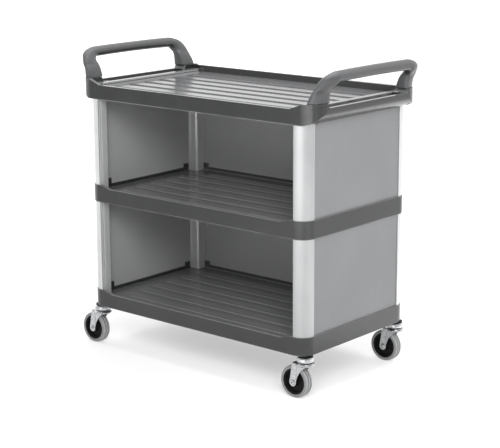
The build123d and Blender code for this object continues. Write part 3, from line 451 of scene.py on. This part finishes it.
# key, then inner x, outer x, inner and outer distance from the pivot, centre of the
# rounding (x, distance), squareness of the two inner corners, of the outer corner and
# of the corner between them.
# Keys 0 to 1 climb the leg, 1 to 2 turn the corner, 2 to 3 run to the grip's middle.
LEG = [
    (0.00, 438.5, 477.5, 18.0, 81.0, 447.0, 29.0, 5.0, 1.85, 5.0),
    (0.30, 442.0, 478.6, 18.0, 79.2, 449.5, 30.0, 4.6, 1.9, 4.6),
    (0.66, 447.2, 481.5, 18.0, 75.4, 455.0, 32.0, 4.0, 2.0, 3.6),
    (1.00, 454.5, 488.0, 18.0, reach(1.00) + 1.0, 464.0, 36.0, 3.4, 2.1, 2.7),
    (1.16, 459.5, 495.0, 18.0, reach(1.16) + 4.0, 471.0, 37.0, 3.0, 2.2, 2.2),
    (1.32, 464.0, 502.0, 18.0, reach(1.32) + 7.5, 479.0, 36.0, 2.6, 2.3, 1.85),
    (1.50, 468.0, 506.5, 18.0, reach(1.50) + 6.5, 484.5, 35.0, 2.3, 2.2, 1.8),
    (1.72, 471.0, 508.0, 18.0, reach(1.72) + 3.5, 488.5, 34.2, 2.1, 2.1, 1.9),
    (2.00, 472.0, 508.0, 18.0, reach(2.00) + 0.6, 490.0, 34.0, 2.0, 2.0, 2.0),
    (2.40, 472.0, 508.0, 19.4, 51.2, 490.0, 35.3, 2.0, 2.0, 2.0),
    (3.00, 472.0, 508.0, 20.3, 51.5, 490.0, 35.9, 2.0, 2.0, 2.0),
]


def section(row, count=88):
    """One closed cross-section: (x, distance from the pivot)."""
    _, xi, xo, di, do, xc, dc, n_in, n_out, n_io = row
    t = np.linspace(0, 2 * math.pi, count, endpoint=False)
    c, s = np.cos(t), np.sin(t)
    outer_x, outer_d = c >= 0, s >= 0
    n = np.where(outer_d, np.where(outer_x, n_out, n_io), n_in)
    a = np.where(outer_x, xo - xc, xc - xi)
    b = np.where(outer_d, do - dc, dc - di)
    x = xc + np.sign(c) * a * np.abs(c) ** (2 / n)
    d = dc + np.sign(s) * b * np.abs(s) ** (2 / n)
    # spread the points evenly round the outline
    loop = np.stack([x, d], 1)
    fine = np.concatenate([loop, loop[:1]])
    step = np.r_[0, np.cumsum(np.linalg.norm(np.diff(fine, axis=0), axis=1))]
    return np.stack([np.interp(t, step / step[-1] * 2 * math.pi, fine[:, k]) for k in (0, 1)], 1)


def handle_mesh(name, sx):
    keys = [r[0] for r in LEG]
    at = np.concatenate(
        [np.linspace(0, 1, 16, endpoint=False), np.linspace(1, 2, 30, endpoint=False), np.linspace(2, 3, 14)]
    )
    rows = np.column_stack([at, hermite(keys, [r[1:] for r in LEG], at)])
    rings = []
    for half in (-1, 1):
        part = []
        for row in rows:
            k = row[0]
            pts = section(row)
            if k <= 1:
                y, z = PIVOT_Y + pts[:, 1], np.full(len(pts), FOOT_Z + (PIVOT_Z - FOOT_Z) * k)
            elif k <= 2:
                a = (k - 1) * math.pi / 2
                y = PIVOT_Y + pts[:, 1] * math.cos(a)
                z = PIVOT_Z + pts[:, 1] * math.sin(a)
            else:
                y = np.full(len(pts), PIVOT_Y * (3 - k))
                z = PIVOT_Z + pts[:, 1]
            part.append(np.stack([sx * pts[:, 0], half * y, z], 1) / 1000.0)
        rings.append(part)
    loops = rings[0] + rings[1][-2::-1]
    count = len(loops[0])
    bm = bmesh.new()
    verts = [[bm.verts.new(p) for p in loop] for loop in loops]
    for a, b in zip(verts, verts[1:]):
        for i in range(count):
            j = (i + 1) % count
            bm.faces.new((a[i], a[j], b[j], b[i]))
    bm.faces.new(verts[0])
    bm.faces.new(verts[-1])
    bmesh.ops.recalc_face_normals(bm, faces=bm.faces)
    me = bpy.data.meshes.new(name)
    bm.to_mesh(me)
    bm.free()
    obj = bpy.data.objects.new(name, me)
    scene.collection.objects.link(obj)
    for p in me.polygons:
        p.use_smooth = len(p.vertices) == 4
    obj.data.materials.append(MATS["moulded_handle"])
    return obj


for side, sx in (("left", -1), ("right", 1)):
    h = handle_mesh(f"{side}_grip_handle", sx)
    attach(h, "frame")
    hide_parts(f"{side}_handle")


# ---------------------------------------------------------------------- stage
floor_mesh = bpy.data.meshes.new("floor")
floor_mesh.from_pydata([(-30, -30, 0), (30, -30, 0), (30, 30, 0), (-30, 30, 0)], [], [(0, 1, 2, 3)])
floor = bpy.data.objects.new("floor", floor_mesh)
scene.collection.objects.link(floor)
# The studio round the cart: a white backdrop, a bright screen to the right and behind, a
# smaller one in front, and the darker room between them. Each row has the heading in
# degrees from -Y towards +X, the cosines where it starts and where it is full, and what it adds.
SCREENS = [
    (220.0, -0.1, 0.4, 0.55),
    (139.0, 0.6, 0.95, 0.6),
    (-4.0, 0.80, 0.97, 0.9),
    (-95.0, 0.55, 0.9, 0.4),
]


def surround(tree, direction, room):
    total = None
    for heading, lo, hi, amount in SCREENS:
        a = math.radians(heading)
        dot = tree.nodes.new("ShaderNodeVectorMath")
        dot.operation = "DOT_PRODUCT"
        dot.inputs[1].default_value = (math.sin(a), -math.cos(a), 0.0)
        tree.links.new(direction, dot.inputs[0])
        ramp = tree.nodes.new("ShaderNodeMapRange")
        ramp.interpolation_type = "SMOOTHSTEP"
        ramp.inputs["From Min"].default_value = lo
        ramp.inputs["From Max"].default_value = hi
        ramp.inputs["To Min"].default_value = 0.0
        ramp.inputs["To Max"].default_value = amount
        tree.links.new(dot.outputs["Value"], ramp.inputs["Value"])
        add = tree.nodes.new("ShaderNodeMath")
        add.operation = "ADD"
        tree.links.new(ramp.outputs["Result"], add.inputs[0])
        if total is None:
            add.inputs[1].default_value = room
        else:
            tree.links.new(total, add.inputs[1])
        total = add.outputs[0]
    return total


fg = Graph("floor_white")
fv = fg.place()
fg.put(
    fg.bsdf,
    "Base Color",
    fg.mix(fg.remap(fg.noise(fv, 1.5, 3.0), 0.3, 0.7, 0.0, 1.0), (0.60, 0.60, 0.60), (0.615, 0.615, 0.615)),
)
fg.bsdf.inputs["Roughness"].default_value = 0.7
fg.bsdf.inputs["Specular IOR Level"].default_value = 0.1
fg.bsdf.inputs["Emission Color"].default_value = (1, 1, 1, 1)
# the floor glows evenly round the cart and takes on the screens' light further out
f_dir = fg.add("ShaderNodeVectorMath", operation="NORMALIZE")
fg.link(fv, f_dir.inputs[0])
f_len = fg.add("ShaderNodeVectorMath", operation="LENGTH")
fg.link(fv, f_len.inputs[0])
far = fg.remap(f_len.outputs["Value"], 1.5, 2.6, 0.0, 1.0, smooth=True)
glow = fg.remap(far, 0.0, 1.0, 0.4, 0.0)
screens = fg.math("MULTIPLY", far, surround(fg.nt, f_dir.outputs["Vector"], 0.0))
f_right = fg.add("ShaderNodeVectorMath", operation="DOT_PRODUCT")
fg.link(fv, f_right.inputs[0])
f_right.inputs[1].default_value = (0.656, 0.755, 0.0)
near_edge = fg.remap(f_right.outputs["Value"], 0.5, 0.85, 0.0, 1.0, smooth=True)
far_edge = fg.remap(f_right.outputs["Value"], 1.3, 1.9, 1.0, 0.0, smooth=True)
right_glow = fg.math("MULTIPLY", near_edge, far_edge)
# a strip light lies on the floor far out in front, brighter towards its sharp right-hand end


def heading_ramp(heading, lo, hi):
    a = math.radians(heading)
    dot = fg.add("ShaderNodeVectorMath", operation="DOT_PRODUCT")
    fg.link(f_dir.outputs["Vector"], dot.inputs[0])
    dot.inputs[1].default_value = (math.sin(a), -math.cos(a), 0.0)
    return fg.remap(dot.outputs["Value"], lo, hi, 0.0, 1.0, smooth=True)


strip = fg.math("MULTIPLY", heading_ramp(60.0, -0.17, 0.91), heading_ramp(-50.0, -0.1, 0.05))
strip = fg.math("MULTIPLY", strip, fg.remap(f_len.outputs["Value"], 3.0, 4.0, 0.0, 1.0, smooth=True))
strip = fg.math("MULTIPLY", strip, fg.remap(f_len.outputs["Value"], 12.0, 16.0, 4.0, 0.0))
right_glow = fg.math("ADD", right_glow, strip)
# beside that strip the floor stays white all the way out
beside = fg.math("MULTIPLY", heading_ramp(52.0, 0.2, 0.85), fg.remap(far, 0.0, 1.0, 0.0, 0.45))
right_glow = fg.math("ADD", right_glow, beside)
# the glow is a little weaker just in front of the cart
f_front = fg.add("ShaderNodeVectorMath", operation="DOT_PRODUCT")
fg.link(fv, f_front.inputs[0])
f_front.inputs[1].default_value = (-0.2, -0.98, 0.0)
dim_near = fg.remap(f_front.outputs["Value"], 0.2, 0.45, 0.0, 0.12, smooth=True)
dim_far = fg.remap(f_front.outputs["Value"], 0.8, 1.3, 1.0, 0.0, smooth=True)
glow = fg.math("SUBTRACT", glow, fg.math("MULTIPLY", dim_near, dim_far))
fg.put(fg.bsdf, "Emission Strength", fg.math("ADD", fg.math("ADD", glow, screens), right_glow))
floor_mesh.materials.append(fg.mat)

world = bpy.data.worlds.new("studio")
scene.world = world
world.use_nodes = True
wn = world.node_tree
wn.nodes.clear()
w_out = wn.nodes.new("ShaderNodeOutputWorld")
w_bg = wn.nodes.new("ShaderNodeBackground")
w_co = wn.nodes.new("ShaderNodeTexCoord")
wn.links.new(surround(wn, w_co.outputs["Generated"], 0.5), w_bg.inputs["Strength"])
w_bg.inputs["Color"].default_value = (1, 1, 1, 1)
wn.links.new(w_bg.outputs["Background"], w_out.inputs["Surface"])


def area_light(name, at, to, size, power):
    """A soft box that lights the cart but isn't mirrored in it."""
    data = bpy.data.lights.new(name, "AREA")
    data.shape = "RECTANGLE"
    data.size, data.size_y = size
    data.energy = power
    obj = bpy.data.objects.new(name, data)
    scene.collection.objects.link(obj)
    obj.location = at
    obj.rotation_mode = "QUATERNION"
    obj.rotation_quaternion = (Vector(to) - Vector(at)).to_track_quat("-Z", "Y")
    obj.visible_glossy = False
    return obj


overhead = area_light("overhead", (0.0, 0.4, 3.6), (0, 0, 0.4), (3.5, 3.0), 75)
overhead.visible_glossy = True
area_light("front_right", (3.2, -2.6, 1.5), (-0.4, 0.0, 0.4), (2.4, 1.6), 60)
area_light("front_high", (2.6, -3.0, 2.7), (-0.3, 0.0, 0.4), (2.0, 1.4), 150)

scene.view_settings.view_transform = "Standard"
scene.view_settings.look = "None"

# --------------------------------------------------------------------- camera
F_PX, AZ, PITCH, ROLL = 1495.4, math.radians(40.685), math.radians(13.201), math.radians(-0.264)
POS = Vector((3.022, -3.493, 1.5083))
fwd = Vector((-math.sin(AZ) * math.cos(PITCH), math.cos(AZ) * math.cos(PITCH), -math.sin(PITCH)))
right = Vector((math.cos(AZ), math.sin(AZ), 0.0))
up = right.cross(fwd)
cam_right = right * math.cos(ROLL) + up * math.sin(ROLL)
cam_up = up * math.cos(ROLL) - right * math.sin(ROLL)
cam_data = bpy.data.cameras.new("camera")
cam_data.lens = F_PX * 36.0 / 500.0
cam_data.sensor_width = 36.0
cam_data.clip_end = 200.0
cam = bpy.data.objects.new("camera", cam_data)
scene.collection.objects.link(cam)
m = Matrix((cam_right, cam_up, -fwd)).transposed().to_4x4()
m.translation = POS
cam.matrix_world = m
scene.camera = cam
